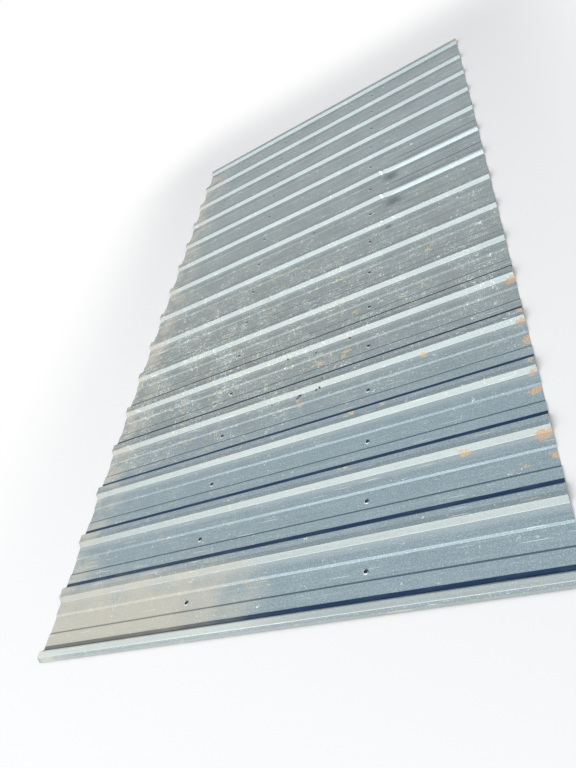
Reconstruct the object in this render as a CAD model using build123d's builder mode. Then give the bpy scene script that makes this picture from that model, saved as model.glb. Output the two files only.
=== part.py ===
from build123d import *
import os

# One corrugated (ribbed) roofing sheet, rolled from thin galvanised steel.
# X runs along the ribs, Y across them and Z up. The origin is on the level floor, under the
# middle of the sheet. The recessed pans lie on the floor, and the ribs stand up from it.

# Driving dimensions, in millimetres. The section's sizes are those of its underside.
sheet_length = 1829.0
sheet_thickness = 0.5
pan_count = 15
rib_pitch = 228.6
rib_crest_width = 34.0
rib_side_run = 14.0
rib_height = 16.0
rib_groove_depth = 1.4
edge_rib_crest_width = 20.0
edge_rib_leg_run = 11.0
pan_width = 58.0
pan_step_run = 8.0
pan_step_height = 3.8
bend_radius = 2.5
screw_hole_diameter = 12.0
screw_hole_off_middle = 4.0
screw_row_from_right_end = 561.5
screw_row_spacing = 641.0

# Places worked out from the driving dimensions. The narrow edge rib is at the -Y edge, and the
# full rib at the +Y edge is the last one.
rib_base_half = rib_crest_width / 2 + rib_side_run
edge_rib_half = edge_rib_crest_width / 2
sheet_width = edge_rib_leg_run + edge_rib_half + pan_count * rib_pitch + rib_base_half
edge_rib_middle = -sheet_width / 2 + edge_rib_leg_run + edge_rib_half
shoulder_level = pan_step_height
crest_level = shoulder_level + rib_height
pans_middle = edge_rib_middle + pan_count * rib_pitch / 2
screw_rows_middle = sheet_length / 2 - screw_row_from_right_end - screw_row_spacing / 2


def rib_points(middle):
    """One full rib's underside: up its side, over the shallow groove in its crest and down again."""
    return [
        (middle - rib_base_half, shoulder_level),
        (middle - rib_crest_width / 2, crest_level),
        (middle, crest_level - rib_groove_depth),
        (middle + rib_crest_width / 2, crest_level),
        (middle + rib_base_half, shoulder_level),
    ]


def edge_rib_points(middle):
    """The underside of the narrow rib at the sheet's near edge, which ends in a steeper leg."""
    return [
        (middle - edge_rib_half - edge_rib_leg_run, shoulder_level),
        (middle - edge_rib_half, crest_level),
        (middle + edge_rib_half, crest_level),
        (middle + edge_rib_half + rib_side_run, shoulder_level),
    ]


def pan_points(middle):
    """One pan's underside: down the step from its shoulder, across, and up again."""
    pan_edge = pan_width / 2
    step_top = pan_edge + pan_step_run
    return [
        (middle - step_top, shoulder_level),
        (middle - pan_edge, 0),
        (middle + pan_edge, 0),
        (middle + step_top, shoulder_level),
    ]


# The underside's outline across the whole sheet: the edge rib, then a pan and a rib for each pitch
underside = edge_rib_points(edge_rib_middle)
for pan in range(pan_count):
    rib = edge_rib_middle + pan * rib_pitch
    underside += pan_points(rib + rib_pitch / 2)
    underside += rib_points(rib + rib_pitch)

with BuildPart() as corrugated_sheet:
    with BuildSketch(Plane.YZ.offset(-sheet_length / 2)):
        with BuildLine():
            FilletPolyline(*underside, radius=bend_radius)
            offset(amount=sheet_thickness, side=Side.LEFT)
        make_face()
    extrude(amount=sheet_length)
    with Locations((screw_rows_middle, pans_middle - screw_hole_off_middle, sheet_thickness)):
        with GridLocations(screw_row_spacing, rib_pitch, 2, pan_count):
            Hole(radius=screw_hole_diameter / 2)

corrugated_sheet.part.label = "corrugated_sheet"
os.makedirs("parts", exist_ok=True)
export_step(corrugated_sheet.part, "parts/corrugated_sheet.step")
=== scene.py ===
import bpy
from math import cos, pi, radians, sin, tan
from mathutils import Matrix, Vector, noise


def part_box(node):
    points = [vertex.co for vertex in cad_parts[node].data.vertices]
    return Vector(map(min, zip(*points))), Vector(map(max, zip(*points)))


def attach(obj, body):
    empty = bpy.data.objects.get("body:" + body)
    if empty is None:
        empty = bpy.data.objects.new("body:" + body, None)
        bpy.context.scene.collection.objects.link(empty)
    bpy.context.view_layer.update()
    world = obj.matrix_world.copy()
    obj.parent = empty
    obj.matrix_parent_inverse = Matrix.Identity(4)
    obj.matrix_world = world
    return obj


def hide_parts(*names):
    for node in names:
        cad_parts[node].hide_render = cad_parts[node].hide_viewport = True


# A weathered sheet of ribbed galvanised roofing, lying flat. Units are metres, X runs along the
# ribs, -Y is the edge nearest the camera and Z is up. Ribs are numbered from 0 at the far edge.

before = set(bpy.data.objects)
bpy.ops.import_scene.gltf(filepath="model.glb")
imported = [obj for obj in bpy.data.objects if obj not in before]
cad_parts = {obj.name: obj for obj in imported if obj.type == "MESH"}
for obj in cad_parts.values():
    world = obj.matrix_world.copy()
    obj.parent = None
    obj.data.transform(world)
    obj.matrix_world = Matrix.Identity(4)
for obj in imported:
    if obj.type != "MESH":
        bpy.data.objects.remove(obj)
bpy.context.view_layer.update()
sheet_low, sheet_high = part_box("corrugated_sheet")

# The section's sizes, measured on the sheet's underside
PITCH = 0.2286
RIB_COUNT = 16
CREST_WIDTH = 0.034
RIB_SIDE_RUN = 0.014
RIB_HEIGHT = 0.016
GROOVE_DEPTH = 0.0014
EDGE_CREST_WIDTH = 0.020
EDGE_LEG_RUN = 0.011
EDGE_RIB_MIDDLE = -1.7195
PAN_WIDTH = 0.058
STEP_RUN = 0.008
STEP_HEIGHT = 0.0038
BEND_RADIUS = 0.0025
THICKNESS = 0.0005

# The screw holes: one in each pan, a little nearer to the camera than its middle, in two rows
HOLE_ROWS = (0.353, -0.288)
ROW_HALF = (HOLE_ROWS[0] - HOLE_ROWS[1]) / 2
HOLE_OFF_MIDDLE = 0.004
HOLE_RADIUS = 0.006
HOLE_CORNERS = 16
# The mesh's grid lines round a hole, and its rim, from outside in: each ring's radius and height
HOLE_BLOCK = (-0.015, -0.0075, 0.0, 0.0075, 0.015)
HOLE_RINGS = ((0.0106, 0.0), (0.0088, 0.0002), (0.0072, 0.0014), (HOLE_RADIUS, 0.0018))

# The mesh's longest steps along the ribs and across the flats, and its first step at an end
STATION_STEP = 0.036
FLAT_STEP = 0.0165
END_STEP = 0.006

# The crease over the ribs 5 and 6, where the sheet was trodden on: a low ridge across the sheet,
# a fold in each rib with a strength, a hollow beside each fold, and a shift of the ribs. Each edge
# of the trodden part runs between two places, both given by a rib and how far off its middle.
CREASE_X = 0.425
CREASE_STATIONS = (-0.05, -0.028, -0.014, -0.006, 0.0, 0.006, 0.014, 0.028, 0.05)
TRODDEN_EDGES = (((7, 0.02), (6, -0.03)), ((4, -0.03), (5, 0.03)))
RIDGE_HEIGHT = 0.003
RIDGE_LEFT, RIDGE_RIGHT = 0.35, 0.05
CREASED_RIBS = ((5, 1.0), (6, 1.0), (7, 0.4))
FOLD_DEPTH = 0.0045
FOLD_HALF_LENGTH = 0.014
FOLD_HALF_WIDTHS = (0.010, 0.036)
HOLLOW_DEPTH = 0.0022
HOLLOW_RADIUS = 0.036
HOLLOW_PLACE = (0.026, -0.046)
HOLLOW_SQUEEZE = 0.8
RIB_SHIFT = 0.009
SHIFT_START, SHIFT_END = -0.004, 0.12

# The unevenness of thin sheet: a height, the waves along X and Y for each metre, and a seed
WOBBLES = ((0.00045, 4.0, 9.0, 3.0), (0.00016, 11.0, 30.0, 8.0))
WOBBLE_LIFT = 0.0006

# Where the painted light and shade beside a rib or round a hole fade in and out, as distances from
# its middle, and the direction of a hole rim's painted highlight
CREST_FADE = (CREST_WIDTH / 2 + 0.0005, CREST_WIDTH / 2 - 0.0005)
SLOPE_STRIP = ((0.0165, 0.0175), (0.032, 0.031))
FOOT_STRIP = ((0.030, 0.031), (0.060, 0.036))
STEP_STRIP = ((0.074, 0.077), (0.088, 0.085))
SIDE_FADE = (-0.002, 0.002)
EDGE_LEG_FADE = (-0.009, -0.011)
RIM_FADE = (0.0100, 0.0080)
RIM_BRIGHT_SIDE = (-0.81, -0.59, 0.0)

# The painted shade lines at a rib's far foot and far step, as distances from its middle. The foot
# line's fade-in is counted from its own start, and the step line's fade from its own middle.
FOOT_LINE_START, FOOT_LINE_NARROWING = 0.0245, 0.0060
FOOT_LINE_FADE_IN = (0.0, 0.0025)
FOOT_LINE_FADE_OUT = (0.0455, 0.0430)
FOOT_LINE_SWAY = 0.003
STEP_LINE_MIDDLE = 0.082
STEP_LINE_FADE = (0.0050, 0.0020)

# Where the looks change along X or across Y: each change begins at one place and is full at another
SKYLIGHT_Y = (-0.45, -1.15)
FILM_NEAR_Y, FILM_FAR_Y = (-1.25, -0.75), (0.9, 0.0)
FILM_X = (0.55, -0.35)
CREAMY_Y, CREAMIEST_Y = (0.1, -0.6), (-0.6, -1.0)
CREAMY_X = (0.95, 0.15)
LIT_SLOPES_Y = (-0.3, 0.1)
SHADED_CRESTS_Y = (-1.0, -0.6)
LIT_FEET_Y = ((-0.45, -0.20), (0.50, 0.35))
LIT_FEET_X = (0.50, 0.20)
LIT_STEPS_Y, SHADED_STEPS_Y = (-1.0, -0.6), (-0.7, -1.1)
EDGE_RIB_Y, NARROW_RIB_Y = (-1.695, -1.699), (-1.62, -1.64)
SUNLIT_DUST_Y = (-1.34, -1.52)
SUNLIT_DUST_X = (0.30, -0.16)
DIRTY_END_X = (-0.70, -0.90)
EDGE_HIGHLIGHT_X = (0.25, -0.15)
FLECKED_Y = (0.55, -0.30)
COARSE_FLECKS_Y = (-1.15, -0.5)
NARROW_LINES_Y, DARK_LINES_Y, GREY_SHADE_LINES_Y = (-1.25, -1.05), (-0.2, -0.55), (-1.05, -0.6)

# Marks on the steel, each an (x, y) and a radius across the ribs
DARK_SPOTS = (
    (0.180, -0.540, 0.005),
    (0.273, -0.615, 0.006),
    (0.123, -0.630, 0.006),
    (-0.013, -0.610, 0.005),
    (0.169, -0.803, 0.004),
    (0.139, -0.840, 0.006),
    (0.153, -0.836, 0.005),
    (0.067, -0.843, 0.008),
    (0.058, -0.853, 0.006),
    (-0.060, -0.846, 0.004),
    (0.323, -0.406, 0.004),
    (0.041, 0.284, 0.006),
)
TAN_PATCHES = (
    (0.290, -0.461, 0.013),
    (0.142, -0.697, 0.016),
    (0.111, -0.699, 0.009),
    (0.261, -0.680, 0.013),
    (0.244, -0.704, 0.012),
    (0.631, -0.217, 0.011),
    (0.614, -0.240, 0.012),
    (0.560, -0.843, 0.012),
    (0.670, -1.297, 0.015),
    (0.287, -1.245, 0.010),
    (0.415, -1.024, 0.009),
    (0.298, -1.026, 0.007),
    (0.071, -0.887, 0.011),
    (0.060, -0.866, 0.010),
)
END_PATCHES = (
    (0.894, 1.712, 0.012),
    (0.905, -0.617, 0.017),
    (0.906, -0.800, 0.008),
    (0.902, -0.836, 0.009),
    (0.908, -0.918, 0.017),
    (0.905, -1.023, 0.007),
    (0.900, -1.066, 0.009),
    (0.897, -1.131, 0.017),
    (0.906, -1.240, 0.009),
    (0.893, -1.300, 0.019),
    (0.909, -1.370, 0.013),
)
FRECKLED_PLACES = (
    (0.839, 0.033, 0.026),
    (0.820, -0.213, 0.028),
    (0.882, 0.437, 0.022),
    (0.132, 0.266, 0.024),
    (0.040, 0.240, 0.030),
    (0.353, 0.009, 0.026),
    (0.345, -0.212, 0.034),
    (0.219, -0.397, 0.022),
    (0.400, -0.460, 0.034),
    (0.343, -0.631, 0.026),
    (0.047, -0.639, 0.030),
    (0.225, -0.929, 0.036),
    (-0.035, -0.905, 0.034),
    (0.020, -0.420, 0.050),
    (-0.040, -0.150, 0.050),
    (0.080, -0.690, 0.040),
    (0.810, -1.385, 0.026),
)
# Scuffed metal at the folds, its whiteness partly painted glints
SCUFFS_AND_GLINTS = (
    (0.417, 0.547, 0.006),
    (0.421, 0.538, 0.004),
    (0.418, 0.318, 0.006),
    (0.422, 0.309, 0.004),
    (0.419, 0.091, 0.004),
    (0.127, 0.545, 0.003),
)
# Painted shade in the hollows beside the crease
DENT_SHADES = ((0.466, 0.486, 0.040), (0.474, 0.250, 0.046), (0.448, 0.046, 0.018))

# Colours of the steel and of what lies on it, and of the painted light and shade
ZINC_DARK = (0.250, 0.298, 0.312, 1.0)
ZINC_LIGHT = (0.304, 0.360, 0.374, 1.0)
# Painted skylight, laid bluer over the near rows
SKYLIGHT_BLUE = (0.256, 0.363, 0.430, 1.0)
# Painted sunlight on the near slopes; the pale and deep tones below are zinc streaks and grains, and also
# painted highlight and shade on the bends
SUNLIT_CREAM = (0.318, 0.350, 0.336, 1.0)
PALE_ZINC_AND_HIGHLIGHT = (0.46, 0.53, 0.55, 1.0)
DEEP_ZINC_AND_SHADE = (0.18, 0.215, 0.23, 1.0)
# Painted shade in the hollows beside the crease
DENT_SHADE_GREY = (0.08, 0.10, 0.11, 1.0)
FILM = (0.262, 0.276, 0.254, 1.0)
# Dust, paler than dust alone as painted sunlight
SUNLIT_DUST = (0.60, 0.56, 0.46, 1.0)
# Painted highlight along the edge rib
EDGE_RIB_HIGHLIGHT = (0.72, 0.77, 0.72, 1.0)
# Painted shade: a navy for the lines at the ribs' far feet, far steps and hole rims, and a grey for the
# lines near the edge and in the corner
NAVY_SHADE = (0.010, 0.036, 0.092, 1.0)
GREY_SHADE = (0.016, 0.026, 0.034, 1.0)
PALE = (0.80, 0.86, 0.83, 1.0)
CREAM = (0.84, 0.81, 0.56, 1.0)
TAN = (0.60, 0.40, 0.18, 1.0)
SAND = (0.74, 0.60, 0.38, 1.0)
SOIL = (0.70, 0.50, 0.35, 1.0)
# Painted highlight: on the holes' rims, and the glints at the folds
HIGHLIGHT_WHITE = (0.85, 0.88, 0.88, 1.0)
RUST = (0.055, 0.035, 0.025, 1.0)

# The floor, the light and the background
FLOOR_HALF = 60.0
FLOOR_GAP = 0.0003
FLOOR_PALE = (0.93, 0.93, 0.92, 1.0)
# Painted shade: dark on the floor under the sheet
UNDER_SHEET_SHADE = (0.05, 0.042, 0.035, 1.0)
SHADE_MARGIN, SHADE_FADE = 0.030, 0.012
WHITE_START, WHITE_END = 0.1, 1.1
SKY_LIGHT = (0.93, 0.96, 1.0, 1.0)
SKY_STRENGTH = 0.5
BACKGROUND = (1.0, 1.0, 1.0, 1.0)
LAMP_PLACE = (-2.4, -6.4, 7.3)
LAMP_TARGET = (0.0, 0.0, 0.0)
LAMP_SIZE = (12.5, 12.0)
LAMP_POWER = 870

# The photograph's viewpoint
CAMERA_PLACE = (1.0696, -2.4142, 1.4592)
CAMERA_TARGET = (0.0003, -0.7501, 0.0)
CAMERA_SLANT = radians(39.71)
FOCAL_LENGTH_PX, FRAME_HEIGHT_PX = 617.7, 768
SENSOR_MM = 36.0
VIEW_DISTANCE = 200.0


def smooth(low, high, value):
    """0 at low, 1 at high and an eased step between them; low may be the greater."""
    t = min(max((value - low) / (high - low), 0.0), 1.0)
    return t * t * (3 - 2 * t)


def rib_middle(number):
    """Y of a rib's middle; rib 0 is at the edge furthest from the camera."""
    return EDGE_RIB_MIDDLE + (RIB_COUNT - 1 - number) * PITCH


def bend(before, corner, after):
    """Three points of the arc that rounds a corner of the section."""
    inward = (before - corner).normalized()
    onward = (after - corner).normalized()
    turn = pi - inward.angle(onward)
    reach = BEND_RADIUS * tan(turn / 2)
    start = corner + inward * reach
    end = corner + onward * reach
    return [start, (start + end + 2 * corner) / 4, end]


def split(start, end):
    """Points between the ends of a flat, no further apart than the flat's longest step."""
    count = int((end - start).length / FLAT_STEP)
    return [start.lerp(end, (i + 1) / (count + 1)) for i in range(count)]


def section_corners():
    """The sharp corners of the underside, as (y, z), from the near edge to the far one."""
    crest = STEP_HEIGHT + RIB_HEIGHT
    edge = EDGE_CREST_WIDTH / 2
    half = CREST_WIDTH / 2
    pan_edge = PAN_WIDTH / 2
    across = [(EDGE_RIB_MIDDLE - edge - EDGE_LEG_RUN, STEP_HEIGHT), (EDGE_RIB_MIDDLE - edge, crest)]
    across += [(EDGE_RIB_MIDDLE + edge, crest), (EDGE_RIB_MIDDLE + edge + RIB_SIDE_RUN, STEP_HEIGHT)]
    for number in reversed(range(RIB_COUNT - 1)):
        rib = rib_middle(number)
        pan = rib - PITCH / 2
        across += [(pan - pan_edge - STEP_RUN, STEP_HEIGHT), (pan - pan_edge, 0.0)]
        across += [(pan + pan_edge, 0.0), (pan + pan_edge + STEP_RUN, STEP_HEIGHT)]
        across += [(rib - half - RIB_SIDE_RUN, STEP_HEIGHT), (rib - half, crest)]
        across += [(rib, crest - GROOVE_DEPTH)]
        across += [(rib + half, crest), (rib + half + RIB_SIDE_RUN, STEP_HEIGHT)]
    return [Vector(corner) for corner in across]


def section():
    """The underside's (y, z) points from the near edge on, and the number of the one at each hole."""
    corners = section_corners()
    points = [corners[0]]
    holes = []
    for before, corner, after in zip(corners, corners[1:], corners[2:]):
        arc = bend(before, corner, after)
        if points[-1].y == 0.0 and arc[0].y == 0.0:
            hole = (points[-1].x + arc[0].x) / 2 - HOLE_OFF_MIDDLE
            holes.append(len(points) + len(HOLE_BLOCK) // 2)
            points += [Vector((hole + offset, 0.0)) for offset in HOLE_BLOCK]
        else:
            points += split(points[-1], arc[0])
        points += arc
    points += split(points[-1], corners[-1])
    points.append(corners[-1])
    return points, holes


def stations():
    """X of each cross-section, and the number of the one through each row of holes."""
    fixed = [sheet_low.x, sheet_low.x + END_STEP, sheet_high.x - END_STEP, sheet_high.x]
    fixed += [row + offset for row in HOLE_ROWS for offset in HOLE_BLOCK]
    fixed += [CREASE_X + offset for offset in CREASE_STATIONS]
    fixed.sort()
    places = [fixed[0]]
    for start, end in zip(fixed, fixed[1:]):
        count = int((end - start) / STATION_STEP) + 1
        places += [start + (end - start) * (i + 1) / count for i in range(count)]
    rows = [min(range(len(places)), key=lambda i: abs(places[i] - row)) for row in HOLE_ROWS]
    return places, rows


def trodden(y):
    """1 across the two creased ribs, and 0 from the ribs beside them on."""
    share = 1.0
    for edge in TRODDEN_EDGES:
        outside, inside = [rib_middle(number) + offset for number, offset in edge]
        share *= smooth(outside, inside, y)
    return share


def ridge(x, y):
    """How far the trodden part is bent up at a place: a low ridge, much steeper to its right."""
    along = x - CREASE_X
    if along < 0:
        rise = smooth(-RIDGE_LEFT, 0.0, along) ** 2
    else:
        rise = 1 - smooth(0.0, RIDGE_RIGHT, along)
    return RIDGE_HEIGHT * trodden(y) * rise


def pinch(x, y, height):
    """How far the crease presses a rib in, and the shallow hollow on the rib's near side."""
    depth = 0.0
    for number, strength in CREASED_RIBS:
        off_rib = y - rib_middle(number)
        over_rib = 1 - smooth(*FOLD_HALF_WIDTHS, abs(off_rib))
        fold = max(0.0, 1 - abs(x - CREASE_X) / FOLD_HALF_LENGTH)
        up_the_rib = smooth(STEP_HEIGHT, STEP_HEIGHT + RIB_HEIGHT, height)
        depth += FOLD_DEPTH * strength * over_rib * fold * up_the_rib
        right, near = HOLLOW_PLACE
        to_hollow = Vector((x - CREASE_X - right, (off_rib - near) * HOLLOW_SQUEEZE)).length
        depth += HOLLOW_DEPTH * strength * (1 - smooth(0.0, HOLLOW_RADIUS, to_hollow))
    return -depth


def shift(x, y):
    """How far the trodden ribs have moved towards the near edge, to the right of the crease."""
    return -RIB_SHIFT * trodden(y) * smooth(SHIFT_START, SHIFT_END, x - CREASE_X)


def wobble(x, y):
    """The slight unevenness of thin sheet, lifted so that it stays above the floor."""
    height = 0.0
    for size, along, across, seed in WOBBLES:
        height += size * noise.noise(Vector((x * along, y * across, seed)))
    return height + WOBBLE_LIFT


def surface(x, point):
    """A point of the underside at a station, with the sheet's damage."""
    y, z = point
    lift = ridge(x, y) + pinch(x, y, z) + wobble(x, y)
    return Vector((x, y + shift(x, y), max(z + lift, 0.0)))


def hole_rings(x, y):
    """Rings of points round a screw hole, from outside in: its rim was raised when the screw was drawn."""
    rings = []
    for radius, height in HOLE_RINGS:
        ring = []
        for i in range(HOLE_CORNERS):
            turn = 2 * pi * i / HOLE_CORNERS
            place = Vector((y + radius * sin(turn), height))
            ring.append(surface(x + radius * cos(turn), place))
        rings.append(ring)
    return rings


def block_outline():
    """The grid steps (along, across) round a hole's block of faces, from the middle of one side on."""
    half = len(HOLE_BLOCK) // 2
    side = range(-half, half)
    outline = [(half, j) for j in range(half)]
    outline += [(-i, half) for i in side]
    outline += [(-half, -j) for j in side]
    outline += [(i, -half) for i in side]
    outline += [(half, j) for j in range(-half, 0)]
    return outline


def sheet_mesh():
    """The sheet's underside as one mesh of quads, with round holes let into its pans."""
    profile, holes = section()
    places, rows = stations()
    half = len(HOLE_BLOCK) // 2
    blocks = [(row, hole) for row in rows for hole in holes]
    point_steps, face_steps = range(1 - half, half), range(-half, half)
    cut_points = {(row + i, hole + j) for row, hole in blocks for i in point_steps for j in point_steps}
    cut_faces = {(row + i, hole + j) for row, hole in blocks for i in face_steps for j in face_steps}
    vertices, faces, index = [], [], {}
    for i, x in enumerate(places):
        for j, point in enumerate(profile):
            if (i, j) not in cut_points:
                index[i, j] = len(vertices)
                vertices.append(surface(x, point))
    for i in range(len(places) - 1):
        for j in range(len(profile) - 1):
            if (i, j) not in cut_faces:
                faces.append((index[i, j], index[i + 1, j], index[i + 1, j + 1], index[i, j + 1]))
    for row, hole in blocks:
        outer = [index[row + i, hole + j] for i, j in block_outline()]
        for ring in hole_rings(places[row], profile[hole].x):
            inner = list(range(len(vertices), len(vertices) + len(ring)))
            vertices += ring
            for k in range(HOLE_CORNERS):
                after = (k + 1) % HOLE_CORNERS
                faces.append((outer[k], outer[after], inner[after], inner[k]))
            outer = inner
    mesh = bpy.data.meshes.new("ribbed_sheet")
    mesh.from_pydata([v[:] for v in vertices], [], faces)
    mesh.polygons.foreach_set("use_smooth", [True] * len(mesh.polygons))
    mesh.validate()
    return mesh


def make_sheet(material):
    """The sheet at its real thickness, standing for the plain solid."""
    sheet = bpy.data.objects.new("ribbed_sheet", sheet_mesh())
    bpy.context.collection.objects.link(sheet)
    sheet.data.materials.append(material)
    wall = sheet.modifiers.new("thickness", "SOLIDIFY")
    wall.thickness = THICKNESS
    wall.offset = 1.0
    flats = sheet.modifiers.new("flat_normals", "WEIGHTED_NORMAL")
    flats.keep_sharp = True
    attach(sheet, "root")
    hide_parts("corrugated_sheet")


class Graph:
    """Short calls that add shader nodes to a node tree and join them."""

    def __init__(self, tree):
        self.tree = tree

    def add(self, kind, values, **settings):
        """A new node, with its settings made and each input set or joined."""
        node = self.tree.nodes.new("ShaderNode" + kind)
        for name, value in settings.items():
            setattr(node, name, value)
        for socket, value in values.items():
            if isinstance(value, bpy.types.NodeSocket):
                self.tree.links.new(value, node.inputs[socket])
            else:
                node.inputs[socket].default_value = value
        return node

    def math(self, operation, a, b=0.0):
        return self.add("Math", {0: a, 1: b}, operation=operation).outputs[0]

    def plus(self, a, b):
        return self.math("ADD", a, b)

    def minus(self, a, b):
        return self.math("SUBTRACT", a, b)

    def absolute(self, value):
        return self.math("ABSOLUTE", value)

    def rest(self, share):
        """What a share leaves of 1."""
        return self.minus(1.0, share)

    def scaled(self, value, factor, start):
        """The value times a factor, added to a start."""
        return self.plus(self.product(value, factor), start)

    def product(self, *factors):
        result = factors[0]
        for factor in factors[1:]:
            result = self.math("MULTIPLY", result, factor)
        return result

    def greatest(self, *values):
        result = values[0]
        for value in values[1:]:
            result = self.math("MAXIMUM", result, value)
        return result

    def repeated(self, value, half):
        """The value, starting again at -half wherever it reaches half."""
        return self.add("Math", {0: value, 1: -half, 2: half}, operation="WRAP").outputs[0]

    def vector(self, operation, a, b, output=0):
        return self.add("VectorMath", {0: a, 1: b}, operation=operation).outputs[output]

    def stretched(self, place, factors):
        """The place multiplied by a factor along each axis."""
        return self.vector("MULTIPLY", place, factors)

    def pair(self, x, y):
        """A flat vector of two values."""
        return self.add("CombineXYZ", {0: x, 1: y}).outputs[0]

    def length(self, vector):
        return self.add("VectorMath", {0: vector}, operation="LENGTH").outputs["Value"]

    def ramp(self, value, low, high):
        """0 at low, 1 at high and an eased step between them; low may be the greater."""
        values = {"Value": value, "From Min": low, "From Max": high}
        return self.add("MapRange", values, interpolation_type="SMOOTHSTEP").outputs["Result"]

    def strip(self, value, fade_in, fade_out):
        """1 within a strip, with an eased step at each of its edges."""
        return self.product(self.ramp(value, *fade_in), self.ramp(value, *fade_out))

    def noise(self, place, scale, detail=2.0):
        return self.add("TexNoise", {"Vector": place, "Scale": scale, "Detail": detail}).outputs["Fac"]

    def mix(self, amount, first, second):
        """The first colour, with an amount of the second."""
        return self.add("Mix", {0: amount, 6: first, 7: second}, data_type="RGBA").outputs[2]

    def cells(self, place, scale):
        """A flat pattern of cells: how far a place is from its cell's point, and each cell's colour."""
        return self.add("TexVoronoi", {"Vector": place, "Scale": scale}, voronoi_dimensions="2D").outputs

    def numbers(self, cells):
        """The random numbers of each cell, from its colour."""
        return self.add("SeparateColor", {0: cells["Color"]}).outputs

    def specks(self, place, scale, share, size):
        """Spots strewn at random: a share of the cells have one, its radius set by size, in cells."""
        cells = self.cells(place, scale)
        numbers = self.numbers(cells)
        chosen = self.math("LESS_THAN", numbers[0], share)
        radius = self.product(self.plus(numbers[1], 0.35), size)
        inside = self.ramp(self.math("DIVIDE", cells["Distance"], radius), 1.0, 0.6)
        return self.product(inside, chosen)

    def marks(self, place, spots, longer):
        """The distance to the nearest of some spots, as a share of its radius, drawn out along X."""
        squeezed = self.stretched(place, (1.0 / longer, 1.0, 1.0))
        nearest = 9.0
        for x, y, radius in spots:
            away = self.vector("DISTANCE", squeezed, (x / longer, y, 0.0), "Value")
            nearest = self.math("MINIMUM", self.math("DIVIDE", away, radius), nearest)
        return nearest

    def seen(self):
        """1 for the rays that show the background: from the camera, a reflection or a clear body."""
        path = self.add("LightPath", {}).outputs
        return self.greatest(path["Is Camera Ray"], path["Is Glossy Ray"], path["Is Transmission Ray"])


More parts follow.
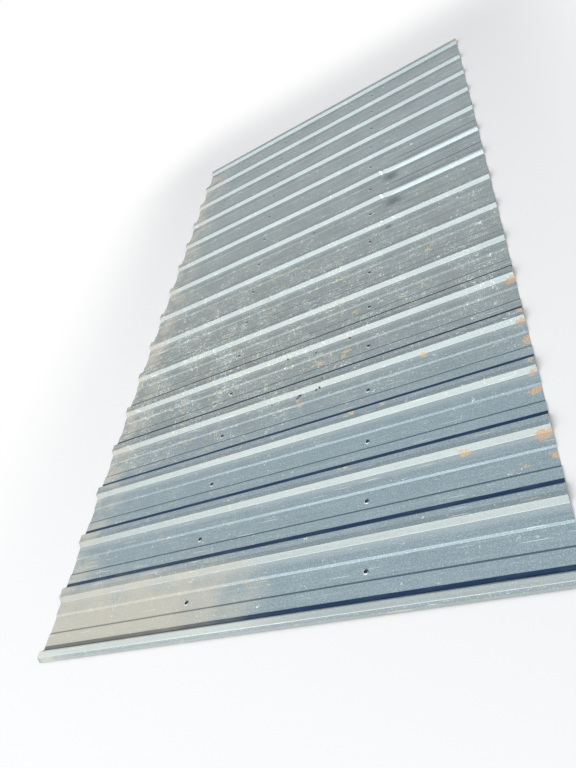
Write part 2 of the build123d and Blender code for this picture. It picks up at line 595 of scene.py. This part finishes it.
class Steel(Graph):
    """Weathered zinc-coated steel: each of its steps lays colours over those of the steps before.

    The tints of the bends, slopes and rims stand partly for the photograph's sun and shade.
    """

    def __init__(self, tree):
        super().__init__(tree)
        place = self.add("TexCoord", {}).outputs["Object"]
        axes = self.add("SeparateXYZ", {0: place})
        self.x, self.y = axes.outputs["X"], axes.outputs["Y"]
        self.flat = self.stretched(place, (1.0, 1.0, 0.0))
        # How far a place is from the nearest rib's middle: off_rib is signed, and from_rib is not
        self.from_edge_rib = self.minus(self.y, EDGE_RIB_MIDDLE)
        self.off_rib = self.repeated(self.from_edge_rib, PITCH / 2)
        self.from_rib = self.absolute(self.off_rib)
        self.far_side = self.ramp(self.off_rib, *SIDE_FADE)
        self.near_side = self.rest(self.far_side)
        self.slope = self.product(self.strip(self.from_rib, *SLOPE_STRIP), self.near_side)
        self.off_slope = self.rest(self.product(self.slope, 0.5))

    def lay(self, amount, colour):
        """Lay an amount of a colour over the tone so far."""
        self.tone = self.mix(amount, self.tone, colour)

    def along(self, change):
        """How far a change along X has come, from 0 to 1."""
        return self.ramp(self.x, *change)

    def across(self, change):
        """How far a change across Y has come, from 0 to 1."""
        return self.ramp(self.y, *change)

    def lay_zinc(self):
        """Clouds, rolling streaks and zinc grains, with a painted blue of skylight towards the near edge.
        """
        self.clouds = self.noise(self.flat, 7.0, 4.0)
        streaks = self.noise(self.stretched(self.flat, (2.5, 130.0, 1.0)), 1.0, 3.0)
        self.grain = self.numbers(self.cells(self.flat, 330.0))[0]
        self.tone = self.mix(self.ramp(self.clouds, 0.3, 0.7), ZINC_DARK, ZINC_LIGHT)
        self.lay(self.product(self.across(SKYLIGHT_Y), 0.7), SKYLIGHT_BLUE)
        self.lay(self.product(self.ramp(streaks, 0.5, 0.72), 0.26), PALE_ZINC_AND_HIGHLIGHT)
        self.lay(self.product(self.ramp(streaks, 0.5, 0.30), 0.20), DEEP_ZINC_AND_SHADE)
        self.lay(self.product(self.ramp(self.grain, 0.72, 1.0), 0.28), PALE_ZINC_AND_HIGHLIGHT)
        self.lay(self.product(self.ramp(self.grain, 0.28, 0.0), 0.28), DEEP_ZINC_AND_SHADE)

    def lay_film(self):
        """A thin film of dirt, thickest over the middle of the sheet and towards its left end."""
        middle = self.product(self.across(FILM_NEAR_Y), self.across(FILM_FAR_Y))
        leftward = self.along(FILM_X)
        self.patchy = self.ramp(self.noise(self.flat, 16.0, 5.0), 0.40, 0.66)
        film = self.product(middle, self.scaled(leftward, 0.55, 0.35))
        self.film = self.greatest(film, self.product(leftward, 0.25))
        self.lay(self.product(self.film, self.scaled(self.patchy, 0.4, 0.25)), FILM)

    def paint_bend_light_and_shade(self):
        """Painted light and shade: creamier, paler near slopes and paler flats beside the near feet and
        steps as painted sunlight, and darker crests and near steps as painted shade.
        """
        crest = self.ramp(self.from_rib, *CREST_FADE)
        near_foot = self.product(self.strip(self.from_rib, *FOOT_STRIP), self.near_side)
        near_step = self.product(self.strip(self.from_rib, *STEP_STRIP), self.near_side)
        creamy = self.product(self.across(CREAMY_Y), self.along(CREAMY_X))
        creamy = self.greatest(creamy, self.across(CREAMIEST_Y))
        paler = self.scaled(self.across(LIT_SLOPES_Y), 0.09, 0.08)
        crest_shade = self.scaled(self.across(SHADED_CRESTS_Y), 0.30, 0.52)
        lit_foot = self.product(self.strip(self.y, *LIT_FEET_Y), self.along(LIT_FEET_X))
        lit_foot = self.scaled(lit_foot, 0.30, 0.58)
        # Painted sunlight on the near slopes, painted shade on the crests, and painted light and shade
        # beside the near feet and steps
        self.lay(self.product(self.slope, self.scaled(creamy, 0.65, 0.20)), SUNLIT_CREAM)
        self.lay(self.product(self.slope, paler), PALE_ZINC_AND_HIGHLIGHT)
        self.lay(self.product(crest, self.near_side, crest_shade), DEEP_ZINC_AND_SHADE)
        self.lay(self.product(crest, self.far_side, 0.12), DEEP_ZINC_AND_SHADE)
        self.lay(self.product(near_foot, lit_foot), PALE_ZINC_AND_HIGHLIGHT)
        self.lay(self.product(near_step, self.across(LIT_STEPS_Y), 0.14), PALE_ZINC_AND_HIGHLIGHT)
        self.lay(self.product(near_step, self.across(SHADED_STEPS_Y), 0.40), DEEP_ZINC_AND_SHADE)

    def lay_dust_and_highlights(self):
        """Dust over the near left corner, paler there as painted sunlight, dirt at the left end, and a
        painted highlight along the edge rib.
        """
        on_edge_rib = self.across(EDGE_RIB_Y)
        drift = self.noise(self.flat, 9.0, 4.0)
        drifted_x = self.plus(self.x, self.product(drift, 0.40))
        drifted_y = self.plus(self.y, self.product(drift, 0.16))
        # The corner's dust is partly painted sunlight
        corner = self.product(self.ramp(drifted_y, *SUNLIT_DUST_Y), self.ramp(drifted_x, *SUNLIT_DUST_X))
        self.corner = self.product(corner, self.rest(on_edge_rib))
        broken = self.ramp(self.noise(self.flat, 11.0, 4.0), 0.38, 0.60)
        left_end = self.product(self.along(DIRTY_END_X), broken)
        self.dust_and_sunlight = self.greatest(self.product(self.corner, 0.80), self.product(left_end, 0.60))
        # Painted highlight along the edge rib, stronger towards its left end
        edge_highlight = self.product(on_edge_rib, self.scaled(self.along(EDGE_HIGHLIGHT_X), 0.40, 0.33))
        leg = self.ramp(self.off_rib, *EDGE_LEG_FADE)
        self.lay(self.dust_and_sunlight, SUNLIT_DUST)
        self.lay(self.product(edge_highlight, self.rest(self.product(leg, 0.66))), EDGE_RIB_HIGHLIGHT)

    def lay_flecks(self):
        """Pale flecks, dots, stipple, curls and scratches, most of them fewer towards the near edge."""
        values = {"Vector": self.flat, "Scale": 48.0, "Detail": 5.0, "Roughness": 0.65}
        jitter = self.vector("SUBTRACT", self.add("TexNoise", values).outputs["Color"], (0.5, 0.5, 0.5))
        self.ragged = self.vector("ADD", self.stretched(jitter, (0.075, 0.05, 0.0)), self.flat)
        self.freckled = self.ramp(self.marks(self.ragged, FRECKLED_PLACES, 1.3), 1.0, 0.3)
        sown = self.ramp(self.noise(self.flat, 7.0, 3.0), 0.40, 0.62)
        more = self.scaled(self.film, self.across(FLECKED_Y), 0.10)
        coarse = self.across(COARSE_FLECKS_Y)
        size = self.scaled(coarse, 0.10, 0.17)
        dot_share = self.product(more, self.scaled(self.product(coarse, sown), 0.26, 0.04))
        dots_and_stipple = self.greatest(self.dots(dot_share, size), self.stipple())
        flecks_and_scratches = self.greatest(self.flecks(self.product(sown, more), size), self.scratches())
        pale = self.greatest(flecks_and_scratches, dots_and_stipple, self.curls(more))
        self.pale = self.product(pale, self.off_slope)
        creamy = self.ramp(self.noise(self.flat, 33.0, 1.0), 0.52, 0.60)
        self.lay(self.pale, self.mix(creamy, PALE, CREAM))

    def flecks(self, strewn, size):
        """Flecks of two sizes, with more of the larger ones at the freckled places."""
        dense = self.greatest(self.product(strewn, 0.32), self.product(self.freckled, 0.45))
        large = self.specks(self.stretched(self.ragged, (0.75, 1.1, 1.0)), 75.0, dense, size)
        place = self.stretched(self.ragged, (0.8, 1.1, 1.0))
        small = self.specks(place, 115.0, self.product(strewn, 0.60), size)
        return self.greatest(large, self.product(small, 0.9))

    def scratches(self):
        """Thin scratches along the ribs."""
        scratches = self.specks(self.stretched(self.flat, (11.0, 420.0, 1.0)), 1.0, 0.018, 0.42)
        return self.product(scratches, 0.7)

    def dots(self, share, size):
        """Dots with an even outline."""
        place = self.stretched(self.flat, (0.85, 1.0, 1.0))
        return self.product(self.specks(place, 170.0, share, self.product(size, 1.4)), 0.8)

    def stipple(self):
        """A faint, fine grain over the whole sheet."""
        return self.product(self.ramp(self.noise(self.flat, 260.0, 2.0), 0.56, 0.68), 0.38)

    def curls(self, more):
        """Thin curled lines, in patches."""
        off_line = self.absolute(self.minus(self.noise(self.flat, 62.0, 0.0), 0.5))
        patches = self.ramp(self.noise(self.flat, 24.0, 1.0), 0.53, 0.62)
        return self.product(self.ramp(off_line, 0.022, 0.010), patches, more)

    def lay_marks(self):
        """Tan specks and patches, painted shade in the hollows by the crease, white scuffs with painted
        glints, and rust spots.
        """
        broken = self.ramp(self.noise(self.flat, 240.0, 3.0), 0.44, 0.54)
        dirty = self.product(self.film, self.patchy, 0.10)
        share = self.greatest(dirty, self.product(self.freckled, 0.32))
        self.tan_specks = self.product(self.specks(self.ragged, 85.0, share, 0.28), self.off_slope)
        tan_patch = self.ramp(self.marks(self.ragged, TAN_PATCHES, 1.2), 1.1, 0.6)
        self.tan_patch = self.product(tan_patch, self.ramp(broken, -0.4, 0.8))
        end_patch = self.ramp(self.marks(self.ragged, END_PATCHES, 1.5), 1.1, 0.7)
        self.end_patch = self.product(end_patch, self.ramp(broken, -0.8, 0.6))
        dent_shade = self.ramp(self.marks(self.flat, DENT_SHADES, 1.4), 1.2, 0.0)
        scuff_and_glint = self.ramp(self.marks(self.flat, SCUFFS_AND_GLINTS, 1.3), 1.0, 0.5)
        self.rust = self.ramp(self.marks(self.flat, DARK_SPOTS, 1.2), 1.0, 0.6)
        self.lay(self.product(self.tan_specks, 0.9), self.mix(self.patchy, SAND, TAN))
        self.lay(self.product(self.tan_patch, 0.95), self.mix(broken, TAN, SAND))
        self.lay(self.product(self.end_patch, 0.9), self.mix(broken, TAN, SOIL))
        self.lay(self.product(dent_shade, 0.7), DENT_SHADE_GREY)
        self.lay(self.product(scuff_and_glint, 0.9), HIGHLIGHT_WHITE)
        self.lay(self.product(self.rust, 0.9), RUST)

    def paint_bend_shade_lines(self):
        """Painted shade: dark lines along the ribs' far feet, and at the steps that face away."""
        sway = self.noise(self.stretched(self.flat, (9.0, 60.0, 1.0)), 1.0, 3.0)
        narrower = self.product(self.across(NARROW_RIB_Y), CREST_WIDTH / 2 - EDGE_CREST_WIDTH / 2)
        to_foot = self.plus(self.plus(self.from_rib, narrower), self.product(sway, FOOT_LINE_SWAY))
        start = self.scaled(self.across(NARROW_LINES_Y), FOOT_LINE_NARROWING, FOOT_LINE_START)
        begun = self.ramp(self.minus(to_foot, start), *FOOT_LINE_FADE_IN)
        far_foot = self.product(begun, self.ramp(to_foot, *FOOT_LINE_FADE_OUT))
        far_foot = self.product(far_foot, self.scaled(sway, 0.3, 0.84))
        far_foot = self.product(far_foot, self.scaled(self.across(DARK_LINES_Y), 0.55, 0.45))
        off_step = self.absolute(self.minus(self.from_rib, STEP_LINE_MIDDLE))
        far_step = self.product(self.ramp(off_step, *STEP_LINE_FADE), 0.7)
        lines = self.product(self.greatest(far_foot, far_step), self.far_side)
        lines = self.product(lines, self.rest(self.product(self.corner, 0.3)))
        grey_share = self.greatest(self.across(GREY_SHADE_LINES_Y), self.corner)
        # Painted shade lines, greyer towards the near edge and in the corner
        self.lay(lines, self.mix(grey_share, NAVY_SHADE, GREY_SHADE))

    def paint_hole_rim_light_and_shade(self):
        """Painted light on the holes' raised rims: a painted highlight towards the near left and painted
        shade on the other side.
        """
        off_row = self.repeated(self.minus(self.x, HOLE_ROWS[0]), ROW_HALF)
        off_hole = self.repeated(self.minus(self.from_edge_rib, PITCH / 2 - HOLE_OFF_MIDDLE), PITCH / 2)
        offset = self.pair(off_row, off_hole)
        reach = self.length(offset)
        facing = self.vector("DOT_PRODUCT", offset, RIM_BRIGHT_SIDE, "Value")
        facing = self.math("DIVIDE", facing, reach)
        rim = self.ramp(reach, *RIM_FADE)
        self.lay(self.product(rim, self.ramp(facing, -0.3, 0.3), 0.5), HIGHLIGHT_WHITE)
        self.lay(self.product(rim, self.ramp(facing, -0.3, -0.8), 0.7), NAVY_SHADE)

    def join(self, shader):
        """Join all to the shader: what lies on the steel makes it less metallic and rougher."""
        worn = (self.tan_patch, self.end_patch, self.tan_specks, self.rust)
        dull = self.greatest(self.dust_and_sunlight, self.product(self.pale, 0.6), *worn)
        bright = self.product(self.rest(self.product(dull, 0.9)), 0.72)
        rough = self.plus(self.product(self.clouds, 0.14), self.product(self.grain, 0.06))
        rough = self.plus(rough, self.scaled(dull, 0.28, 0.27))
        fine = self.plus(self.noise(self.flat, 330.0, 2.0), self.product(self.grain, 0.4))
        lying = self.greatest(self.pale, self.tan_patch, self.rust)
        height = self.plus(fine, self.product(lying, 0.8))
        relief = self.add("Bump", {"Strength": 0.25, "Distance": 0.0006, "Height": height}).outputs[0]
        sockets = {"Base Color": self.tone, "Metallic": bright, "Roughness": rough, "Normal": relief}
        for name, value in sockets.items():
            self.tree.links.new(value, shader.inputs[name])


def galvanised():
    """The sheet's one material."""
    material = bpy.data.materials.new("galvanised_steel")
    material.use_nodes = True
    steel = Steel(material.node_tree)
    steel.lay_zinc()
    steel.lay_film()
    steel.paint_bend_light_and_shade()
    steel.lay_dust_and_highlights()
    steel.lay_flecks()
    steel.lay_marks()
    steel.paint_bend_shade_lines()
    steel.paint_hole_rim_light_and_shade()
    steel.join(material.node_tree.nodes["Principled BSDF"])
    return material


def floor_material():
    """Pale where the sheet's shadow falls, white far away, and dark painted shade under the sheet."""
    material = bpy.data.materials.new("pale_floor")
    material.use_nodes = True
    nodes = material.node_tree.nodes
    graph = Graph(material.node_tree)
    shader = nodes["Principled BSDF"]
    shader.inputs["Roughness"].default_value = 0.9
    place = graph.add("TexCoord", {}).outputs["Object"]
    axes = graph.add("SeparateXYZ", {0: place})
    along = graph.absolute(axes.outputs["X"])
    across = graph.absolute(axes.outputs["Y"])
    end, side = sheet_high.x - SHADE_MARGIN, sheet_high.y - SHADE_MARGIN
    under_x = graph.ramp(along, end + SHADE_FADE, end)
    under_y = graph.ramp(across, side + SHADE_FADE, side)
    floor_tone = graph.mix(graph.product(under_x, under_y), FLOOR_PALE, UNDER_SHEET_SHADE)
    graph.tree.links.new(floor_tone, shader.inputs["Base Color"])
    beyond_x = graph.greatest(graph.minus(along, sheet_high.x), 0.0)
    beyond_y = graph.greatest(graph.minus(across, sheet_high.y), 0.0)
    away = graph.length(graph.pair(beyond_x, beyond_y))
    amount = graph.product(graph.seen(), graph.ramp(away, WHITE_START, WHITE_END))
    white = graph.add("Emission", {"Strength": 1.0})
    mixed = graph.add("MixShader", {0: amount, 1: shader.outputs[0], 2: white.outputs[0]})
    graph.tree.links.new(mixed.outputs[0], nodes["Material Output"].inputs["Surface"])
    return material


def make_floor():
    """A wide level floor, just under the sheet."""
    mesh = bpy.data.meshes.new("floor")
    half = FLOOR_HALF
    corners = [(-half, -half, 0), (half, -half, 0), (half, half, 0), (-half, half, 0)]
    mesh.from_pydata(corners, [], [(0, 1, 2, 3)])
    mesh.materials.append(floor_material())
    floor = bpy.data.objects.new("floor", mesh)
    floor.location.z = sheet_low.z - FLOOR_GAP
    bpy.context.collection.objects.link(floor)


def make_world():
    """White to the camera and in reflections, and a dimmer even light on the object."""
    world = bpy.data.worlds.new("studio")
    bpy.context.scene.world = world
    world.use_nodes = True
    world.node_tree.nodes.clear()
    graph = Graph(world.node_tree)
    light = graph.add("Background", {"Color": SKY_LIGHT, "Strength": SKY_STRENGTH})
    white = graph.add("Background", {"Color": BACKGROUND, "Strength": 1.0})
    mixed = graph.add("MixShader", {0: graph.seen(), 1: light.outputs[0], 2: white.outputs[0]})
    graph.add("OutputWorld", {0: mixed.outputs[0]})


def make_lamp():
    """A wide softbox, high over the near left, that points at the sheet."""
    data = bpy.data.lights.new("key", "AREA")
    data.shape = "RECTANGLE"
    data.size, data.size_y = LAMP_SIZE
    data.energy = LAMP_POWER
    lamp = bpy.data.objects.new("key", data)
    lamp.location = LAMP_PLACE
    aim = Vector(LAMP_TARGET) - Vector(LAMP_PLACE)
    lamp.rotation_euler = aim.to_track_quat("-Z", "Y").to_euler()
    bpy.context.collection.objects.link(lamp)


def make_camera():
    """The photograph's viewpoint: above the near right corner, held at a slant."""
    place = Vector(CAMERA_PLACE)
    data = bpy.data.cameras.new("camera")
    data.sensor_width = SENSOR_MM
    data.lens = FOCAL_LENGTH_PX / FRAME_HEIGHT_PX * data.sensor_width
    data.clip_end = VIEW_DISTANCE
    camera = bpy.data.objects.new("camera", data)
    aim = (Vector(CAMERA_TARGET) - place).to_track_quat("-Z", "Y").to_matrix().to_4x4()
    camera.matrix_world = Matrix.Translation(place) @ aim @ Matrix.Rotation(-CAMERA_SLANT, 4, "Z")
    bpy.context.collection.objects.link(camera)
    bpy.context.scene.camera = camera


make_camera()
make_sheet(galvanised())
make_floor()
make_world()
make_lamp()

bpy.context.scene.view_settings.view_transform = "Standard"
